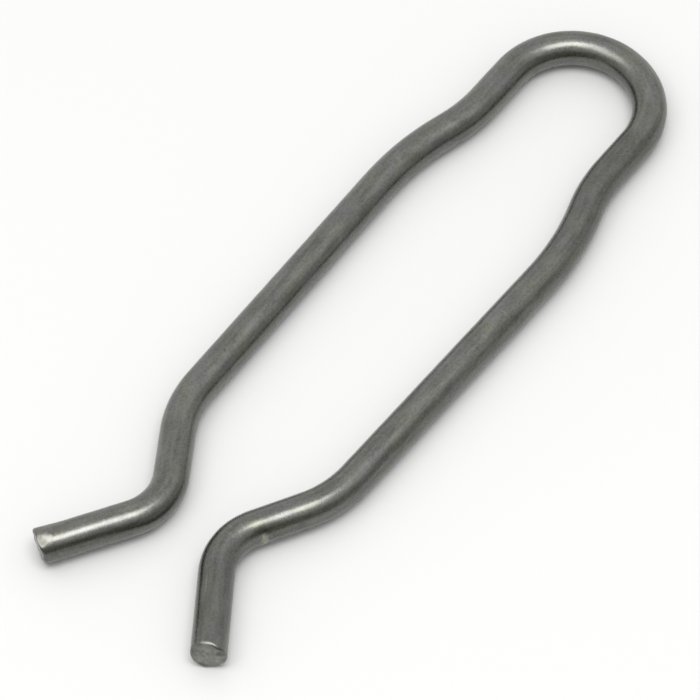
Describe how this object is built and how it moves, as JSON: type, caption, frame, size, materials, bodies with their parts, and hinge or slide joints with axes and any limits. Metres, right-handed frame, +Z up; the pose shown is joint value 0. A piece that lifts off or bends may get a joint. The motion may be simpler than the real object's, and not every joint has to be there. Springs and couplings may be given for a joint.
{
  "type": "retaining clip",
  "caption": "Spring retaining clip bent from round steel wire: a round head opens into two nearly parallel legs that pinch in and flare out again to short feet.",
  "frame": {"origin": "on the surface that the clip lies on, under the middle of its length, in the plane midway between its legs", "axes": "+Y along the clip toward its round head, X across the legs, +Z up from the surface it lies on"},
  "size_m": [0.0165, 0.0596, 0.0025],
  "materials": {
    "wire": "drawn spring wire, dull grey with a soft sheen"
  },
  "bodies": {
    "root": {"wire_clip": "wire"}
  },
  "joints": []
}
